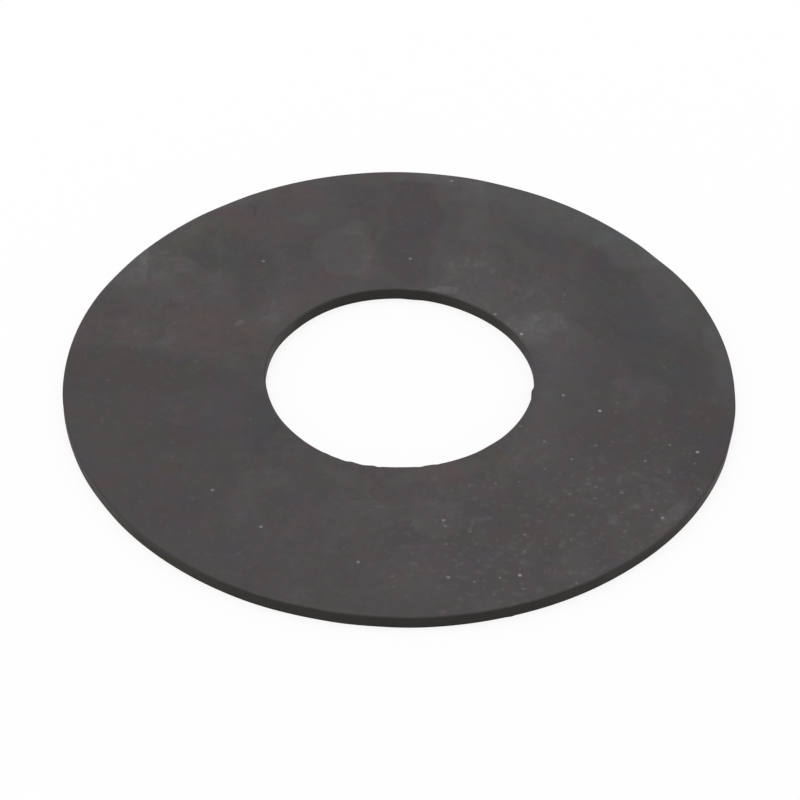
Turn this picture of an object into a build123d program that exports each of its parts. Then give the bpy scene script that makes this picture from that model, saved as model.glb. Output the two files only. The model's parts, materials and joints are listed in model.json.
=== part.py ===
from build123d import *
import os

# Rubber flange gasket, in millimetres: one flat ring, cut from rubber sheet, that is clamped
# between the faces of a pipe joint. It lies on its lower face. The origin is the centre of
# that face, and +Z runs up along the axis of the bore.

# The ring as it is cut. Its rim lines up with the rim of the flange, its bore passes the pipe.
outer_diameter = 152.0
bore_diameter = 61.0
sheet_thickness = 3.0

# The blade enters through the upper face and draws its two edges over. Where it leaves the
# sheet, at the lower face, the edges stay sharper.
upper_edge_radius = 0.5
lower_edge_radius = 0.1

with BuildPart() as gasket_ring:
    with BuildSketch(Plane.XY):
        Circle(outer_diameter / 2)
        Circle(bore_diameter / 2, mode=Mode.SUBTRACT)
    extrude(amount=sheet_thickness)
    upper_face = gasket_ring.faces().sort_by(Axis.Z)[-1]
    fillet(upper_face.edges(), radius=upper_edge_radius)
    lower_face = gasket_ring.faces().sort_by(Axis.Z)[0]
    fillet(lower_face.edges(), radius=lower_edge_radius)
gasket_ring.part.label = "gasket_ring"

os.makedirs("parts", exist_ok=True)
export_step(gasket_ring.part, "parts/gasket_ring.step")
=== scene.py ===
import json
import math

import bmesh
import bpy
import numpy as np
from mathutils import Matrix, Vector


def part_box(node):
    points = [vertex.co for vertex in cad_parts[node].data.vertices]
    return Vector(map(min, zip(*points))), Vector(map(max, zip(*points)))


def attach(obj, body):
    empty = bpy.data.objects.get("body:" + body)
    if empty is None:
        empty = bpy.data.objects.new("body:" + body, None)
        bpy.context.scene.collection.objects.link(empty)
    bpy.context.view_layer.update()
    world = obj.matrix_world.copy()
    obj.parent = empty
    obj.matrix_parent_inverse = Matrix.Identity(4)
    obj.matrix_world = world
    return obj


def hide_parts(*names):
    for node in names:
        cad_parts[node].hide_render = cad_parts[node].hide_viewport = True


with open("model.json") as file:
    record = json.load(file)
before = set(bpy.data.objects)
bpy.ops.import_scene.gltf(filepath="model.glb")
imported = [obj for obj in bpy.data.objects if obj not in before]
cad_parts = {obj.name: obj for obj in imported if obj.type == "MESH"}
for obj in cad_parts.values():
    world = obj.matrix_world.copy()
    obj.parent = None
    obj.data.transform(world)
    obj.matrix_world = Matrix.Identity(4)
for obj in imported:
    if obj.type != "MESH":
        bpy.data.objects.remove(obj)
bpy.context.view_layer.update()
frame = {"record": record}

# The gasket ring: one flat ring of black sheet rubber, cut out with a blade that enters through
# the upper face. It lies loose on its lower face. Its section is drawn first, beside the axis,
# with the upper edges drawn over by the blade and the lower ones nearly sharp.
ring_low, ring_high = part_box("gasket_ring")
rim_radius = ring_high.x
sheet_thickness = ring_high.z
pipe_bore = next(mount for mount in frame["record"]["mounts"] if mount["name"] == "pipe_bore")
bore_radius = pipe_bore["dims"]["r_mm"] / 1000
upper_edge_radius = 0.0005
lower_edge_radius = 0.0001
upper_edge_steps = 6
lower_edge_steps = 4
edge_margin = 0.00015
face_rows = 18
wall_rows = 8
eighth_columns = 135


def pick_points(piece, wanted):
    """Selects the points of the piece for which wanted is true, and leaves it in edit mode."""
    bpy.ops.object.mode_set(mode="OBJECT")
    shape = piece.data
    places = np.empty(len(shape.vertices) * 3)
    shape.vertices.foreach_get("co", places)
    chosen = wanted(*places.reshape(-1, 3).T)
    shape.edges.foreach_set("select", np.zeros(len(shape.edges), bool))
    shape.polygons.foreach_set("select", np.zeros(len(shape.polygons), bool))
    shape.vertices.foreach_set("select", chosen)
    bpy.ops.object.mode_set(mode="EDIT")


bpy.ops.object.select_all(action="DESELECT")
bpy.ops.mesh.primitive_plane_add(
    size=1,
    location=((rim_radius + bore_radius) / 2, 0, sheet_thickness / 2),
    rotation=(math.radians(90), 0, 0),
)
gasket = bpy.context.object
gasket.name = "gasket_sheet_ring"
gasket.scale = (rim_radius - bore_radius, sheet_thickness, 1)
bpy.ops.object.transform_apply(location=True, rotation=True, scale=True)
bpy.ops.object.mode_set(mode="EDIT")
bpy.ops.mesh.select_mode(type="VERT")
pick_points(gasket, lambda x, y, z: z > sheet_thickness / 2)
bpy.ops.mesh.bevel(offset=upper_edge_radius, segments=upper_edge_steps, affect="VERTICES")
pick_points(gasket, lambda x, y, z: z < lower_edge_radius / 2)
bpy.ops.mesh.bevel(offset=lower_edge_radius, segments=lower_edge_steps, affect="VERTICES")

# The section's outline is cut into rows, closer together beside the edges, and spun round the
# axis: an eighth of a turn first, which is then copied until the ring is closed.
bpy.ops.mesh.select_all(action="SELECT")
bpy.ops.mesh.delete(type="ONLY_FACE")
flat_start = bore_radius + upper_edge_radius + edge_margin
flat_end = rim_radius - upper_edge_radius - edge_margin
for row in range(face_rows + 1):
    across = flat_start + (flat_end - flat_start) * row / face_rows
    bpy.ops.mesh.select_all(action="SELECT")
    bpy.ops.mesh.bisect(plane_co=(across, 0, 0), plane_no=(1, 0, 0))
wall_start = lower_edge_radius + edge_margin
wall_end = sheet_thickness - upper_edge_radius - edge_margin
for row in range(wall_rows + 1):
    height = wall_start + (wall_end - wall_start) * row / wall_rows
    bpy.ops.mesh.select_all(action="SELECT")
    bpy.ops.mesh.bisect(plane_co=(0, 0, height), plane_no=(0, 0, 1))
bpy.ops.mesh.select_all(action="SELECT")
bpy.ops.mesh.spin(steps=eighth_columns, angle=math.tau / 8, center=(0, 0, 0), axis=(0, 0, 1))
for share in (8, 4, 2):
    bpy.ops.mesh.select_all(action="SELECT")
    bpy.ops.mesh.duplicate()
    bpy.ops.transform.rotate(value=math.tau / share, orient_axis="Z", center_override=(0, 0, 0))
bpy.ops.mesh.select_all(action="SELECT")
bpy.ops.mesh.remove_doubles(threshold=1e-6)
bpy.ops.mesh.normals_make_consistent(inside=False)

# The blade was led round by hand, so neither cut is a true circle. Each push moves a stretch of a
# cut outwards or inwards: its direction in degrees, how far it goes, and how far to each side it
# reaches. The rim has a blunt corner near 32 degrees, where its cut starts and ends. The bore has a
# nib at 351 degrees, where its cut was torn through, and a nibbled edge from 239 to 287 degrees.
rim_pushes = (
    (92, 0.0006, 0.034),
    (43, -0.0005, 0.032),
    (36, -0.0002, 0.007),
    (25, 0.00012, 0.008),
    (77, 0.00015, 0.009),
    (110, 0.00013, 0.016),
    (125, -0.00015, 0.009),
    (141, -0.00045, 0.034),
    (153, -0.00012, 0.01),
    (172, 0.00008, 0.014),
    (186, 0.00022, 0.02),
    (213, -0.0001, 0.01),
    (232, -0.00018, 0.045),
    (257, -0.0002, 0.016),
    (267, -0.00015, 0.009),
    (288.5, 0.0001, 0.0008),
    (300, 0.00009, 0.018),
    (330, 0.00033, 0.045),
    (346, -0.00012, 0.008),
    (352, 0.00012, 0.008),
)
bore_pushes = (
    (8, 0.0002, 0.01),
    (55, -0.00027, 0.018),
    (85, -0.00018, 0.003),
    (118, 0.0002, 0.016),
    (158, 0.00015, 0.009),
    (195, -0.00012, 0.01),
    (239.5, -0.0001, 0.0009),
    (243, 0.00033, 0.014),
    (247.5, 0.00012, 0.0014),
    (251, -0.00012, 0.0008),
    (255.5, 0.00016, 0.0014),
    (260, -0.00008, 0.0007),
    (262, 0.00014, 0.0009),
    (272, -0.00012, 0.005),
    (279, 0.0001, 0.0009),
    (283, -0.00014, 0.0022),
    (286.5, 0.00008, 0.0006),
    (290, -0.00008, 0.012),
    (311, -0.0001, 0.004),
    (348, 0.00012, 0.0014),
    (351.5, -0.0003, 0.0015),
)
push_depth = 0.001
push_width = 0.0005
for cut_radius, pushes in ((rim_radius, rim_pushes), (bore_radius, bore_pushes)):
    for direction, distance, reach in pushes:
        outward = Vector((math.cos(math.radians(direction)), math.sin(math.radians(direction)), 0))
        pick_points(
            gasket,
            lambda x, y, z: (abs(x * outward.x + y * outward.y - cut_radius) < push_depth)
            & (abs(x * outward.y - y * outward.x) < push_width / 2),
        )
        bpy.ops.transform.translate(
            value=outward * distance,
            use_proportional_edit=True,
            proportional_edit_falloff="SMOOTH",
            proportional_size=reach,
        )
bpy.ops.object.mode_set(mode="OBJECT")
bpy.ops.object.shade_smooth()

# The finish starts the same way on every side: rubber of one tone that has clouded unevenly with
# age, in steps from finger width down to the grain of the sheet.
cloud_size = 0.02
cloud_steps = 5
cloud_step_ratio = 0.92
grain_stretch = 0.7
grain_size = 0.0006
sheet_tone = (0.0496, 0.0424, 0.0440)
cut_tone = (0.0140, 0.0114, 0.0086)
least_dullness = 0.58
most_dullness = 0.7
sheet_gloss = 0.3
grain_depth = 0.00002


def add_node(tree, kind, sockets, **settings):
    """Adds a shader node: sets what it is set to, joins or fills its sockets, and returns it."""
    node = tree.nodes.new("ShaderNode" + kind)
    for name, value in settings.items():
        setattr(node, name, value)
    for socket, value in sockets.items():
        if isinstance(value, bpy.types.NodeSocket):
            tree.links.new(value, node.inputs[socket])
        else:
            node.inputs[socket].default_value = value
    return node


def start_finish(name):
    """Starts a finish with the place on the piece and the clouds of its rubber, about nought."""
    finish = bpy.data.materials.new(name)
    finish.use_nodes = True
    tree = finish.node_tree
    tree.nodes.clear()
    place = add_node(tree, "TexCoord", {}).outputs["Object"]
    along_grain = add_node(tree, "Mapping", {"Vector": place, "Scale": (1, grain_stretch, 1)})
    clouds = add_node(
        tree,
        "TexNoise",
        {
            "Vector": along_grain.outputs["Vector"],
            "Scale": 1 / cloud_size,
            "Detail": cloud_steps,
            "Roughness": cloud_step_ratio,
        },
        normalize=False,
    )
    return finish, tree, place, clouds


def tint(tree, amount, tone, colour):
    """Adds amount times tone to the colour."""
    sockets = {0: amount, 1: tone, 2: colour}
    return add_node(tree, "VectorMath", sockets, operation="MULTIPLY_ADD").outputs["Vector"]


def end_finish(tree, place, clouds, colour):
    """Ends a finish: the colour, an uneven dull gloss and a fine grain."""
    sockets = {
        "Value": clouds.outputs[0],
        "From Min": -0.6,
        "From Max": 0.6,
        "To Min": least_dullness,
        "To Max": most_dullness,
    }
    dullness = add_node(tree, "MapRange", sockets)
    grain = add_node(
        tree,
        "TexNoise",
        {"Vector": place, "Scale": 1 / grain_size, "Detail": 2, "Roughness": 0.6},
    )
    relief = add_node(tree, "Bump", {"Height": grain.outputs[0], "Distance": grain_depth, "Strength": 1})
    rubber = add_node(
        tree,
        "BsdfPrincipled",
        {
            "Base Color": colour,
            "Roughness": dullness.outputs["Result"],
            "Specular IOR Level": sheet_gloss,
            "Normal": relief.outputs["Normal"],
        },
    )
    add_node(tree, "OutputMaterial", {"Surface": rubber.outputs["BSDF"]})


# The upper face carries the marks that the sheet has picked up: smears of pale bloom, places that
# were rubbed darker, and faint stains. A few of the pale ovals are a painted highlight along the far
# edge of the bore. Each is an oval with wandering edges: its middle, its width and height, its turn
# in degrees, how soft its edge is, and how strong it is.
bloom_and_highlight_tone = (0.94, 1.02, 1.0)
bloom_and_highlight_patches = (
    (0.0265, 0.0235, 0.048, 0.014, -47, 0.8, 0.0085),
    (0.0335, 0.0185, 0.009, 0.0075, 0, 0.4, 0.0140),
    (0.0285, 0.0185, 0.0055, 0.0075, 0, 0.4, 0.0120),
    (0.0375, 0.019, 0.002, 0.006, 5, 0.5, 0.0070),
    (0.031, 0.0135, 0.007, 0.005, -30, 0.6, 0.0060),
    (0.033, 0.031, 0.008, 0.012, 0, 0.7, 0.0060),
    (0.035, 0.0235, 0.0015, 0.002, 0, 0.8, 0.0060),
    (0.0265, 0.021, 0.0013, 0.0015, 0, 0.8, 0.0070),
    (0.029, 0.0295, 0.0016, 0.0028, 0, 0.6, 0.0120),
    (0.0265, 0.033, 0.0014, 0.004, 25, 0.6, 0.0100),
    # These three pale ovals along the far edge of the bore are a painted highlight, a bright streak on the
    # face just behind that edge.
    (0.0101, 0.0308, 0.0080, 0.0026, -18, 0.4, 0.0200),
    (0.0085, 0.0320, 0.006, 0.003, -12, 0.6, 0.0060),
    (0.0172, 0.0275, 0.008, 0.003, -32, 0.6, 0.0060),
    (0.0285, 0.0145, 0.005, 0.006, 0, 0.7, 0.0060),
    (0.018, 0.041, 0.017, 0.009, 0, 0.4, 0.0040),
    (0.012, 0.041, 0.0018, 0.0022, 0, 0.6, 0.0110),
    (0.0165, 0.042, 0.0016, 0.0045, 0, 0.6, 0.0090),
    (0.020, 0.0415, 0.0024, 0.003, 0, 0.6, 0.0120),
    (0.023, 0.039, 0.0018, 0.0024, 0, 0.6, 0.0090),
    (0.021, 0.050, 0.006, 0.010, 0, 0.6, 0.0045),
    (0.0175, 0.061, 0.0075, 0.022, 0, 0.4, 0.0065),
    (0.012, 0.0665, 0.010, 0.008, 0, 0.4, 0.0045),
    (0.008, 0.0730, 0.020, 0.006, -8, 0.5, 0.0130),
    (0.027, 0.068, 0.034, 0.010, -20, 0.7, 0.0070),
    (0.033, 0.0575, 0.012, 0.007, -30, 0.7, 0.0035),
    (0.045, 0.057, 0.024, 0.011, -38, 0.7, 0.0085),
    (0.0545, 0.0470, 0.016, 0.012, -50, 0.5, 0.0140),
    (0.062, 0.038, 0.016, 0.008, -58, 0.7, 0.0060),
    (0.068, 0.024, 0.010, 0.005, -70, 0.7, 0.0025),
    (0.059, 0.0335, 0.003, 0.009, 0, 0.6, 0.0035),
    (0.063, 0.0275, 0.003, 0.004, 0, 0.6, 0.0040),
    (0.0725, 0.010, 0.005, 0.020, 0, 0.6, 0.0085),
    (0.039, 0.018, 0.0045, 0.016, 5, 0.4, 0.0040),
    (0.0365, -0.001, 0.006, 0.020, 0, 0.6, 0.0030),
    (0.034, -0.017, 0.006, 0.014, 15, 0.6, 0.0045),
    (0.0505, -0.006, 0.0055, 0.010, -10, 0.5, 0.0060),
    (-0.061, 0.039, 0.0026, 0.011, 0, 0.4, 0.0100),
    (-0.0645, 0.0365, 0.008, 0.014, -25, 0.5, 0.0160),
    (-0.055, 0.0385, 0.015, 0.008, 0, 0.3, 0.0085),
    (-0.058, 0.033, 0.008, 0.006, 0, 0.5, 0.0085),
    (-0.057, 0.0435, 0.010, 0.006, 20, 0.7, 0.0035),
    (-0.0505, 0.0335, 0.015, 0.0065, 0, 0.3, 0.0065),
    (-0.056, 0.027, 0.018, 0.007, 0, 0.4, 0.0065),
    (-0.045, 0.025, 0.010, 0.010, 0, 0.6, 0.0030),
    (-0.059, 0.043, 0.0035, 0.006, -25, 0.6, 0.0060),
    (-0.0555, 0.0445, 0.003, 0.0018, 20, 0.6, 0.0090),
    (-0.043, 0.031, 0.003, 0.008, 0, 0.6, 0.0040),
    (-0.0595, 0.0235, 0.0016, 0.005, 0, 0.6, 0.0050),
    (-0.0465, 0.0235, 0.0025, 0.005, 20, 0.6, 0.0040),
    (-0.055, 0.0145, 0.036, 0.012, 0, 0.5, 0.0035),
    (-0.0615, 0.014, 0.0028, 0.003, 0, 0.5, 0.0060),
    (-0.0535, 0.011, 0.004, 0.003, 0, 0.5, 0.0070),
    (-0.0362, 0.0175, 0.0024, 0.0011, 0, 0.5, 0.0200),
    (-0.0285, 0.025, 0.0014, 0.0045, 10, 0.6, 0.0080),
    (-0.028, 0.019, 0.003, 0.004, 0, 0.6, 0.0080),
    (-0.030, 0.022, 0.010, 0.016, 0, 0.7, 0.0040),
    (-0.0135, 0.046, 0.013, 0.021, 0, 0.15, 0.0065),
    (-0.0135, 0.054, 0.006, 0.006, 0, 0.5, 0.0040),
    (-0.0085, 0.0435, 0.0026, 0.0016, 0, 0.6, 0.0090),
    (-0.008, 0.0375, 0.005, 0.006, 0, 0.4, 0.0050),
    (-0.0225, 0.058, 0.004, 0.006, 0, 0.5, 0.0045),
    (-0.0275, 0.0355, 0.005, 0.003, 0, 0.5, 0.0050),
    (-0.041, 0.0635, 0.018, 0.007, 32, 0.7, 0.0070),
    (-0.0365, 0.0635, 0.014, 0.005, 30, 0.7, 0.0045),
    (-0.052, 0.053, 0.012, 0.005, 42, 0.7, 0.0050),
    (-0.018, 0.0725, 0.026, 0.005, 14, 0.7, 0.0045),
    (-0.012, -0.0335, 0.012, 0.004, -15, 0.6, 0.0060),
    (0.004, -0.0335, 0.014, 0.004, 10, 0.6, 0.0055),
    (0.015, -0.031, 0.012, 0.005, 25, 0.6, 0.0050),
    (0.028, -0.026, 0.014, 0.010, 40, 0.7, 0.0045),
    (-0.0285, -0.036, 0.012, 0.007, 0, 0.4, 0.0050),
    (-0.034, -0.044, 0.007, 0.016, -15, 0.6, 0.0050),
    (-0.0265, -0.0325, 0.0018, 0.0045, 25, 0.6, 0.0070),
    (-0.006, -0.0435, 0.010, 0.005, 0, 0.3, 0.0070),
    (-0.013, -0.0475, 0.009, 0.009, 0, 0.4, 0.0040),
    (0.009, -0.046, 0.008, 0.012, 20, 0.3, 0.0070),
    (-0.013, -0.053, 0.006, 0.010, 0, 0.6, 0.0040),
    (0.003, -0.066, 0.012, 0.014, 0, 0.7, 0.0040),
    (-0.020, -0.070, 0.005, 0.003, 0, 0.6, 0.0050),
    (0.018, -0.071, 0.006, 0.004, 20, 0.6, 0.0050),
    (-0.048, -0.0165, 0.005, 0.0018, -10, 0.6, 0.0060),
    (-0.066, -0.017, 0.0013, 0.0025, 0, 0.6, 0.0070),
    (-0.034, -0.028, 0.004, 0.004, 0, 0.6, 0.0040),
    (-0.0255, -0.0262, 0.010, 0.006, -45, 0.7, 0.0040),
    (-0.0485, -0.027, 0.010, 0.007, 0, 0.7, 0.0040),
    (0.0595, -0.0425, 0.008, 0.004, 45, 0.4, 0.0130),
    (0.056, -0.047, 0.006, 0.003, 45, 0.6, 0.0060),
    (0.053, -0.037, 0.0018, 0.0035, 0, 0.6, 0.0090),
    (0.0585, -0.0365, 0.0035, 0.005, 0, 0.5, 0.0055),
    (0.047, -0.047, 0.002, 0.003, 0, 0.6, 0.0110),
    (0.0415, -0.0475, 0.0018, 0.0024, 0, 0.6, 0.0090),
    (0.0425, -0.0335, 0.003, 0.005, 0, 0.5, 0.0050),
    (0.0355, -0.0575, 0.0018, 0.003, 0, 0.6, 0.0080),
    (0.037, -0.0605, 0.010, 0.010, 0, 0.6, 0.0065),
    (0.028, -0.0595, 0.0035, 0.002, 0, 0.5, 0.0070),
    (0.0275, -0.027, 0.002, 0.0025, 0, 0.6, 0.0090),
)
rubbed_tone = (-1.05, -0.95, -0.9)
rubbed_limit = 0.0085
rubbed_patches = (
    (0.003, 0.060, 0.013, 0.026, -4, 0.15, 0.0075),
    (0.001, 0.044, 0.013, 0.022, 0, 0.2, 0.0060),
    (0.0005, 0.071, 0.008, 0.012, 0, 0.6, 0.0050),
    (-0.008, 0.056, 0.007, 0.012, 0, 0.4, 0.0050),
    (-0.010, 0.0655, 0.010, 0.010, 0, 0.5, 0.0035),
    (0.0585, 0.008, 0.016, 0.020, 0, 0.4, 0.0080),
    (0.0655, -0.003, 0.011, 0.034, -8, 0.5, 0.0080),
    (0.051, 0.025, 0.015, 0.036, 10, 0.5, 0.0070),
    (0.0505, 0.042, 0.012, 0.016, 0, 0.5, 0.0050),
    (0.048, 0.006, 0.012, 0.024, 0, 0.6, 0.0040),
    (0.054, -0.018, 0.028, 0.022, 0, 0.6, 0.0050),
    (0.0695, -0.019, 0.007, 0.022, -15, 0.5, 0.0090),
    (0.0655, -0.031, 0.009, 0.012, -25, 0.6, 0.0070),
    (0.0385, 0.051, 0.016, 0.018, 0, 0.6, 0.0040),
    (0.0295, 0.055, 0.0035, 0.012, 0, 0.5, 0.0050),
    (-0.075, -0.023, 0.110, 0.062, 0, 0.15, 0.0045),
    (-0.066, 0.000, 0.036, 0.016, 0, 0.4, 0.0050),
    (-0.048, -0.001, 0.020, 0.012, 0, 0.4, 0.0035),
    (-0.0315, -0.016, 0.009, 0.022, 10, 0.4, 0.0050),
    (-0.0345, 0.033, 0.009, 0.026, 0, 0.4, 0.0055),
    (-0.0425, 0.044, 0.016, 0.018, 0, 0.5, 0.0055),
    (-0.024, 0.047, 0.009, 0.014, 0, 0.5, 0.0045),
    (-0.067, 0.0225, 0.008, 0.006, 0, 0.6, 0.0030),
    (-0.053, 0.022, 0.003, 0.003, 0, 0.6, 0.0040),
    (-0.048, -0.022, 0.014, 0.012, 0, 0.6, 0.0035),
    (0.014, 0.062, 0.004, 0.004, 0, 0.5, 0.0040),
    (0.016, 0.0485, 0.002, 0.0025, 0, 0.5, 0.0040),
    (0.024, -0.030, 0.014, 0.012, 0, 0.6, 0.0025),
    (0.026, -0.045, 0.014, 0.014, 0, 0.6, 0.0025),
    (0.002, -0.051, 0.009, 0.009, 0, 0.6, 0.0040),
    (-0.026, -0.045, 0.006, 0.012, 0, 0.6, 0.0035),
    (-0.0185, -0.0365, 0.009, 0.010, 0, 0.6, 0.0035),
    (-0.071, 0.015, 0.009, 0.014, 0, 0.6, 0.0030),
    (-0.042, 0.014, 0.016, 0.006, 0, 0.6, 0.0030),
    (-0.033, 0.002, 0.008, 0.014, 0, 0.6, 0.0030),
    (-0.042, -0.056, 0.036, 0.022, -40, 0.7, 0.0030),
)
brown_tone = (0.9, -0.1, -0.5)
brown_patches = (
    (-0.055, 0.016, 0.036, 0.016, 0, 0.5, 0.0032),
    (-0.045, 0.009, 0.020, 0.008, 0, 0.5, 0.0025),
    (-0.0255, 0.064, 0.012, 0.010, 0, 0.4, 0.0040),
    (-0.039, 0.055, 0.008, 0.012, 0, 0.5, 0.0035),
    (-0.015, 0.0345, 0.008, 0.005, 0, 0.6, 0.0035),
    (0.010, -0.0335, 0.012, 0.005, 0, 0.6, 0.0030),
    (0.026, -0.027, 0.010, 0.006, 0, 0.6, 0.0025),
    (-0.064, -0.037, 0.007, 0.006, 0, 0.6, 0.0040),
    (-0.041, 0.021, 0.012, 0.008, 0, 0.6, 0.0040),
    (-0.033, 0.014, 0.006, 0.010, 0, 0.6, 0.0040),
    (-0.061, 0.032, 0.008, 0.006, 0, 0.6, 0.0040),
    (0.069, -0.013, 0.006, 0.012, 0, 0.6, 0.0030),
    (-0.055, -0.027, 0.010, 0.006, 0, 0.6, 0.0025),
    (-0.022, 0.029, 0.012, 0.006, 40, 0.6, 0.0025),
    (-0.066, 0.001, 0.018, 0.012, 0, 0.6, 0.0012),
    (0.0405, -0.018, 0.006, 0.005, 0, 0.6, 0.0030),
    (0.055, -0.0495, 0.008, 0.002, 45, 0.7, 0.0040),
)
olive_tone = (0.2, 0.35, -0.9)
olive_patches = (
    (-0.008, 0.051, 0.006, 0.012, 0, 0.5, 0.0030),
    (-0.058, 0.0005, 0.030, 0.012, 0, 0.6, 0.0022),
    (-0.059, -0.020, 0.028, 0.018, 0, 0.6, 0.0025),
    (-0.048, 0.050, 0.016, 0.010, 30, 0.6, 0.0040),
    (-0.047, -0.032, 0.010, 0.012, 0, 0.6, 0.0025),
    (0.023, 0.053, 0.006, 0.012, 0, 0.6, 0.0030),
    (0.022, 0.044, 0.010, 0.006, 0, 0.6, 0.0030),
    (0.024, -0.046, 0.007, 0.010, 0, 0.6, 0.0030),
    (0.021, -0.029, 0.010, 0.008, 0, 0.6, 0.0030),
    (-0.008, -0.034, 0.020, 0.005, 0, 0.6, 0.0025),
    (-0.054, 0.040, 0.010, 0.006, 0, 0.5, 0.0030),
    (0.049, -0.053, 0.010, 0.008, 0, 0.6, 0.0030),
)
violet_tone = (0.3, -0.5, 0.5)
violet_patches = (
    (0.050, 0.042, 0.010, 0.012, 0, 0.6, 0.0025),
    (0.049, 0.008, 0.012, 0.020, 0, 0.7, 0.0015),
    (0.065, -0.035, 0.008, 0.010, -30, 0.6, 0.0025),
    (0.037, 0.048, 0.008, 0.010, 0, 0.7, 0.0020),
    (-0.052, -0.015, 0.020, 0.012, 0, 0.6, 0.0030),
    (-0.024, 0.048, 0.005, 0.006, 0, 0.7, 0.0020),
    (0.003, 0.056, 0.014, 0.036, 0, 0.6, 0.0010),
)
teal_tone = (-0.8, 0.3, 0.2)
teal_patches = (
    (0.059, 0.007, 0.018, 0.020, 0, 0.6, 0.0040),
    (-0.044, 0.041, 0.014, 0.014, 0, 0.6, 0.0022),
    (-0.050, -0.010, 0.010, 0.006, 0, 0.6, 0.0020),
    (-0.0315, -0.016, 0.009, 0.018, 0, 0.6, 0.0040),
    (0.027, 0.067, 0.030, 0.012, -20, 0.6, 0.0030),
    (0.045, 0.056, 0.026, 0.014, -38, 0.6, 0.0045),
    (0.058, 0.045, 0.020, 0.012, -52, 0.6, 0.0040),
    (0.068, 0.024, 0.022, 0.010, -70, 0.6, 0.0040),
    (0.030, 0.050, 0.020, 0.016, 0, 0.7, 0.0025),
    (0.052, 0.026, 0.016, 0.024, 0, 0.6, 0.0030),
    (0.0675, -0.022, 0.006, 0.010, 0, 0.6, 0.0025),
    (-0.0225, 0.058, 0.007, 0.007, 0, 0.6, 0.0030),
    (0.0725, 0.001, 0.005, 0.014, 0, 0.6, 0.0045),
    (-0.034, 0.042, 0.006, 0.010, 0, 0.6, 0.0030),
    (0.040, -0.008, 0.008, 0.012, 0, 0.7, 0.0020),
    (-0.055, 0.047, 0.014, 0.008, 40, 0.7, 0.0025),
    (0.052, 0.020, 0.008, 0.008, 0, 0.7, 0.0020),
    (-0.020, -0.036, 0.010, 0.006, 0, 0.7, 0.0020),
    (0.050, -0.057, 0.012, 0.008, 40, 0.7, 0.0020),
)


def add_up(tree, place, marks, total):
    """Adds oval marks to a total: each gives its amount inside, and nought beyond its soft edge."""
    for x, y, width, height, turn, softness, amount in marks:
        spread = 2 - softness
        across = add_node(
            tree,
            "Mapping",
            {
                "Vector": place,
                "Location": (x, y, sheet_thickness),
                "Rotation": (0, 0, math.radians(turn)),
                "Scale": (width / spread, height / spread, 1),
            },
            vector_type="TEXTURE",
        ).outputs["Vector"]
        fade = add_node(tree, "TexGradient", {"Vector": across}, gradient_type="SPHERICAL").outputs["Fac"]
        sockets = {"Value": fade, "From Max": softness, "To Max": amount}
        share = add_node(tree, "MapRange", sockets, interpolation_type="SMOOTHSTEP").outputs["Result"]
        total = add_node(tree, "Math", {0: share, 1: total}, operation="ADD").outputs["Value"]
    return total


# The skin of the upper face is drawn over its edge and a little way down the walls, further in
# some places, and thins out on the way.
drawn_places = (
    (-0.060, -0.046, 0.050, 0.044, 0, 0.8, 0.0009),
    (0.058, -0.049, 0.036, 0.026, 50, 0.8, 0.0006),
    (-0.024, 0.019, 0.022, 0.022, 0, 0.8, 0.0004),
    (0.024, 0.019, 0.022, 0.022, 0, 0.8, 0.0002),
    (0.030, 0.0055, 0.010, 0.014, 0, 0.8, 0.0010),
)
drawn_reach = 0.0006
skin_thinning = 2


def thin_skin(tree, place):
    """Gives the share of skin that is left: one on the face, nought where bare rubber starts."""
    reach = add_up(tree, place, drawn_places, drawn_reach)
    skin_end = add_node(tree, "Math", {0: sheet_thickness, 1: reach}, operation="SUBTRACT")
    heights = add_node(tree, "SeparateXYZ", {"Vector": place})
    sockets = {
        "Value": heights.outputs["Z"],
        "From Min": skin_end.outputs["Value"],
        "From Max": sheet_thickness,
    }
    share = add_node(tree, "MapRange", sockets).outputs["Result"]
    return add_node(tree, "Math", {0: share, 1: skin_thinning}, operation="POWER").outputs["Value"]


upper_finish, upper_tree, upper_place, upper_clouds = start_finish("aged_sheet_face")
cloud_tone = (0.0077, 0.0075, 0.0075)
upper_colour = tint(upper_tree, upper_clouds.outputs[0], cloud_tone, sheet_tone)
blotch_size = 0.006
blotch_tone = (0.0044, 0.0026, 0.0039)
blotches = add_node(
    upper_tree,
    "TexNoise",
    {"Vector": upper_place, "Scale": 1 / blotch_size, "Detail": 3, "Roughness": 0.85},
    normalize=False,
)
upper_colour = tint(upper_tree, blotches.outputs["Color"], blotch_tone, upper_colour)

# The ovals' edges wander: far in wide sweeps, and less in narrow ones.
wander_sweeps = ((0.012, 0.003), (0.004, 0.001), (0.0015, 0.0003))
wander = upper_place
for wander_size, wander_reach in wander_sweeps:
    drift = add_node(
        upper_tree,
        "TexNoise",
        {"Vector": upper_place, "Scale": 1 / wander_size, "Detail": 0},
        normalize=False,
    )
    wander = tint(upper_tree, drift.outputs["Color"], (wander_reach, wander_reach, 0), wander)
weakest_mark = 0.85
strongest_mark = 1.35
sockets = {
    "Value": upper_clouds.outputs[0],
    "From Min": -0.5,
    "From Max": 0.5,
    "To Min": weakest_mark,
    "To Max": strongest_mark,
}
unevenness = add_node(upper_tree, "MapRange", sockets).outputs["Result"]
for tone, patches in (
    (bloom_and_highlight_tone, bloom_and_highlight_patches),
    (rubbed_tone, rubbed_patches),
    (brown_tone, brown_patches),
    (olive_tone, olive_patches),
    (violet_tone, violet_patches),
    (teal_tone, teal_patches),
):
    total = add_up(upper_tree, wander, patches, 0.0)
    if patches is rubbed_patches:
        sockets = {0: total, 1: rubbed_limit, 2: rubbed_limit / 2}
        total = add_node(upper_tree, "Math", sockets, operation="SMOOTH_MIN").outputs["Value"]
    total = add_node(upper_tree, "Math", {0: total, 1: unevenness}, operation="MULTIPLY").outputs["Value"]
    upper_colour = tint(upper_tree, total, tone, upper_colour)

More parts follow.
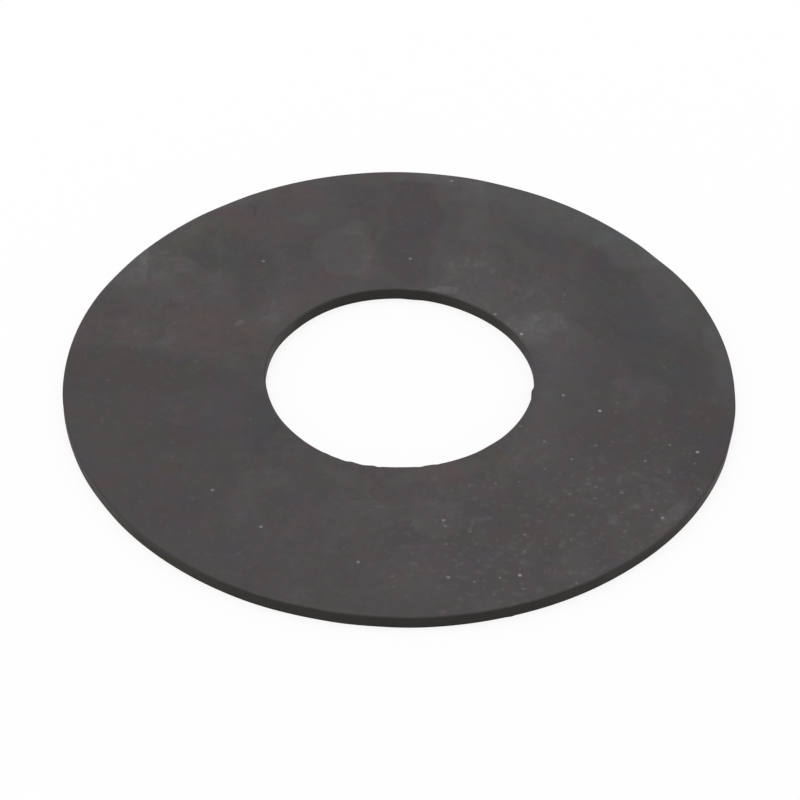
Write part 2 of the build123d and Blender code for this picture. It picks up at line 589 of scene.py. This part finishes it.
# Flecks of bloom the size of a pinhead lie scattered, thickest in front on the right, and among
# them grains of white dust.
fleck_size = 0.0017
fleck_tone = (0.011, 0.0118, 0.0116)
fleck_places = (
    (0.033, -0.052, 0.066, 0.044, 20, 0.6, 1.0),
    (0.050, -0.026, 0.034, 0.030, 0, 0.7, 0.4),
    (0.018, 0.038, 0.030, 0.022, 0, 0.7, 0.4),
    (-0.050, 0.022, 0.044, 0.040, 0, 0.7, 0.3),
    (-0.010, -0.050, 0.060, 0.040, 0, 0.8, 0.2),
)
fleck_noise = add_node(
    upper_tree,
    "TexNoise",
    {"Vector": upper_place, "Scale": 1 / fleck_size, "Detail": 1, "Roughness": 0.5},
    normalize=False,
)
sockets = {
    "Value": fleck_noise.outputs[0],
    "From Min": 0.18,
    "From Max": 0.6,
    "To Max": add_up(upper_tree, upper_place, fleck_places, 0.3),
}
flecks = add_node(upper_tree, "MapRange", sockets, interpolation_type="SMOOTHSTEP").outputs["Result"]
upper_colour = tint(upper_tree, flecks, fleck_tone, upper_colour)
dust_spacing = 0.0055
dust_radius = 0.00038
dust_core = 0.3
grain_fade = 1.3
whitest_chance = 1.5
dust_rarity = 1.5
dust_tone = (0.072, 0.069, 0.070)
dust_places = (
    (0.036, -0.046, 0.080, 0.060, 20, 0.5, 0.3),
    (0.050, -0.012, 0.040, 0.040, 0, 0.6, 0.15),
    (0.030, 0.028, 0.040, 0.034, 0, 0.6, 0.15),
)
dust_crowd = add_up(upper_tree, upper_place, dust_places, 0.25)
dust_cells = add_node(
    upper_tree,
    "TexVoronoi",
    {"Vector": upper_place, "Scale": 1 / dust_spacing},
    voronoi_dimensions="2D",
)
dust_draw = add_node(upper_tree, "SeparateColor", {"Color": dust_cells.outputs["Color"]})
sockets = {0: dust_draw.outputs["Red"], 1: dust_crowd}
dust_chance = add_node(upper_tree, "Math", sockets, operation="ADD").outputs["Value"]
sockets = {"Value": dust_chance, "From Min": 1, "From Max": whitest_chance}
dust_rank = add_node(upper_tree, "MapRange", sockets).outputs["Result"]
sockets = {0: dust_rank, 1: dust_rarity}
dust_whiteness = add_node(upper_tree, "Math", sockets, operation="POWER").outputs["Value"]
sockets = {
    "Value": dust_cells.outputs["Distance"],
    "From Min": dust_radius / dust_spacing * dust_core,
    "From Max": dust_radius / dust_spacing * grain_fade,
    "To Min": dust_whiteness,
    "To Max": 0,
}
dust = add_node(upper_tree, "MapRange", sockets, interpolation_type="SMOOTHSTEP").outputs["Result"]
upper_colour = tint(upper_tree, dust, dust_tone, upper_colour)

# The largest grains of dust, each where it sticks. A few are white, and the others are greyer.
speck_tone = (1.0, 0.97, 0.98)
white_specks = (
    (0.066, -0.024),
    (0.045, -0.011),
    (0.026, -0.063),
    (0.028, 0.015),
)
grey_specks = (
    (0.011, -0.064),
    (0.010, -0.047),
    (0.057, -0.045),
    (-0.008, -0.060),
    (-0.029, -0.050),
    (-0.040, -0.039),
    (0.002, 0.042),
    (0.012, 0.073),
    (0.022, 0.022),
    (-0.033, 0.040),
    (0.037, -0.006),
)
speck_radius = 0.00042
speck_core = 0.5
white_strength = 0.19
grey_strength = 0.11
whiteness = 0.0
for places, strength in ((white_specks, white_strength), (grey_specks, grey_strength)):
    for x, y in places:
        sockets = {0: upper_place, 1: (x, y, sheet_thickness)}
        reach = add_node(upper_tree, "VectorMath", sockets, operation="DISTANCE").outputs["Value"]
        sockets = {
            "Value": reach,
            "From Min": speck_radius * speck_core,
            "From Max": speck_radius * grain_fade,
            "To Min": strength,
            "To Max": 0,
        }
        speck = add_node(upper_tree, "MapRange", sockets, interpolation_type="SMOOTHSTEP").outputs["Result"]
        whiteness = add_node(upper_tree, "Math", {0: speck, 1: whiteness}, operation="ADD").outputs["Value"]
upper_colour = tint(upper_tree, whiteness, speck_tone, upper_colour)

# On the curve of the edge the skin thins out, and the tone goes over to that of the cut.
sockets = {0: 1.0, 1: thin_skin(upper_tree, upper_place)}
bare = add_node(upper_tree, "Math", sockets, operation="SUBTRACT").outputs["Value"]
upper_colour = tint(upper_tree, bare, Vector(cut_tone) - Vector(sheet_tone), upper_colour)
end_finish(upper_tree, upper_place, upper_clouds, upper_colour)

# The lower face has the same rubber with fainter clouds, and none of the marks.
faint_cloud_tone = (0.0045, 0.0043, 0.0042)
lower_finish, lower_tree, lower_place, lower_clouds = start_finish("sheet_underside")
lower_colour = tint(lower_tree, lower_clouds.outputs[0], faint_cloud_tone, sheet_tone)
end_finish(lower_tree, lower_place, lower_clouds, lower_colour)

# The cut walls are fresh rubber, blacker than the faces and a little warm, with fine marks where
# the blade dragged along them.
drag_length = 0.009
drag_height = 0.00035
cut_cloud_tone = (0.0025, 0.0024, 0.0022)
drag_tone = (0.003, 0.0028, 0.0026)
cut_finish, cut_tree, cut_place, cut_clouds = start_finish("cut_rubber")
along_cut = add_node(
    cut_tree,
    "Mapping",
    {"Vector": cut_place, "Scale": (1 / drag_length, 1 / drag_length, 1 / drag_height)},
)
drag_marks = add_node(
    cut_tree,
    "TexNoise",
    {"Vector": along_cut.outputs["Vector"], "Scale": 1, "Detail": 2, "Roughness": 0.6},
    normalize=False,
)
cut_colour = tint(cut_tree, cut_clouds.outputs[0], cut_cloud_tone, cut_tone)
cut_colour = tint(cut_tree, drag_marks.outputs[0], drag_tone, cut_colour)

# Some stretches of the walls are painted paler over their whole height. This is painted light, standing in
# for the room's light falling on the sides of the bore and on the front left of the rim.
painted_light_places = (
    (-0.064, -0.041, 0.048, 0.030, -58, 0.9, 0.006),
    (0.023, 0.020, 0.032, 0.018, -45, 0.8, 0.009),
    (-0.0295, 0.009, 0.012, 0.022, 0, 0.8, 0.010),
)
painted_light_tone = (1, 1, 1)
painted_wall_light = add_up(cut_tree, cut_place, painted_light_places, 0.0)
cut_colour = tint(cut_tree, painted_wall_light, painted_light_tone, cut_colour)
skin = thin_skin(cut_tree, cut_place)
cut_colour = tint(cut_tree, skin, Vector(sheet_tone) - Vector(cut_tone), cut_colour)
end_finish(cut_tree, cut_place, cut_clouds, cut_colour)

# The walls' finish covers the whole ring first. The faces' finishes take over a little way down
# the curve of each edge.
for finish in (cut_finish, upper_finish, lower_finish):
    gasket.data.materials.append(finish)
face_share = 0.3
finish_rows = (
    (1, lambda x, y, z: z > sheet_thickness - upper_edge_radius * face_share),
    (2, lambda x, y, z: z < lower_edge_radius * face_share),
)
for slot, wanted in finish_rows:
    pick_points(gasket, wanted)
    bpy.ops.mesh.select_mode(type="FACE")
    gasket.active_material_index = slot
    bpy.ops.object.material_slot_assign()
    bpy.ops.mesh.select_mode(type="VERT")
bpy.ops.object.mode_set(mode="OBJECT")

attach(gasket, "root")
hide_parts("gasket_ring")

# The camera: a 120 mm lens, three hand spans off, looking down on the ring at the photograph's
# angle. The ring's middle lies a little above the middle of the frame.
camera_distance = 0.606
camera_elevation = math.radians(41.3)
camera_roll = math.radians(1.11)
aim_point = Vector((0.00018, -0.00866, sheet_thickness))
ring_middle = Vector((0, 0, sheet_thickness))
lens = bpy.data.cameras.new("product_lens")
lens.sensor_width = 36
lens.lens = 120
camera = bpy.data.objects.new("product_camera", lens)
bpy.context.scene.collection.objects.link(camera)
away = Vector((0, -math.cos(camera_elevation), math.sin(camera_elevation)))
camera.location = ring_middle + away * camera_distance
facing = (aim_point - camera.location).to_track_quat("-Z", "Y").to_matrix()
camera.rotation_euler = (facing @ Matrix.Rotation(camera_roll, 3, "Z")).to_euler()
bpy.context.scene.camera = camera

# The floor: a plain pale sheet under the ring. Near the ring it takes its shadow, and the rest of
# it, and all that is beyond it, is seen as plain white.
shadow_share = 0.2
shadow_reach = 0.3
floor_tone = (0.95, 0.95, 0.95, 1)
floor_width = 6


def seen_by_eye(tree):
    """Gives one for what the camera sees, straight, mirrored or through glass, and else nought."""
    rays = add_node(tree, "LightPath", {}).outputs
    seen = rays["Is Camera Ray"]
    for way in ("Is Glossy Ray", "Is Transmission Ray"):
        seen = add_node(tree, "Math", {0: seen, 1: rays[way]}, operation="MAXIMUM").outputs["Value"]
    return seen


bpy.ops.mesh.primitive_plane_add(size=floor_width)
floor = bpy.context.object
floor.name = "studio_floor"
floor_paper = bpy.data.materials.new("floor_paper")
floor_paper.use_nodes = True
paper = floor_paper.node_tree
paper.nodes.clear()
floor_place = add_node(paper, "TexCoord", {}).outputs["Object"]
from_ring = add_node(paper, "VectorMath", {0: floor_place}, operation="LENGTH").outputs["Value"]
sockets = {"Value": from_ring, "From Max": shadow_reach, "To Min": 1 - shadow_share}
whitened = add_node(paper, "MapRange", sockets).outputs["Result"]
sockets = {0: whitened, 1: seen_by_eye(paper)}
white_share = add_node(paper, "Math", sockets, operation="MULTIPLY").outputs["Value"]
lit_paper = add_node(paper, "BsdfDiffuse", {"Color": floor_tone}).outputs["BSDF"]
white_paper = add_node(paper, "Emission", {}).outputs["Emission"]
sockets = {"Fac": white_share, 1: lit_paper, 2: white_paper}
blend = add_node(paper, "MixShader", sockets).outputs["Shader"]
add_node(paper, "OutputMaterial", {"Surface": blend})
floor.data.materials.append(floor_paper)

# The light: an even pale room, which the camera sees as white, and one large soft lamp overhead.
room_level = 0.7
lamp_place = Vector((-0.2, 0.3, 1.4))
lamp_width = 1.2
lamp_power = 8
room = bpy.data.worlds.new("pale_room")
room.use_nodes = True
bpy.context.scene.world = room
walls = room.node_tree
walls.nodes.clear()
room_light = add_node(walls, "Background", {"Color": (1, 1, 1, 1), "Strength": room_level})
room_white = add_node(walls, "Background", {"Color": (1, 1, 1, 1)})
sockets = {
    "Fac": seen_by_eye(walls),
    1: room_light.outputs["Background"],
    2: room_white.outputs["Background"],
}
room_blend = add_node(walls, "MixShader", sockets).outputs["Shader"]
add_node(walls, "OutputWorld", {"Surface": room_blend})
soft_box = bpy.data.lights.new("overhead_soft_box", "AREA")
soft_box.size = lamp_width
soft_box.energy = lamp_power
lamp = bpy.data.objects.new("overhead_soft_box", soft_box)
lamp.location = lamp_place
lamp.rotation_euler = (-lamp_place).to_track_quat("-Z", "Y").to_euler()
bpy.context.scene.collection.objects.link(lamp)
bpy.context.scene.view_settings.view_transform = "Standard"
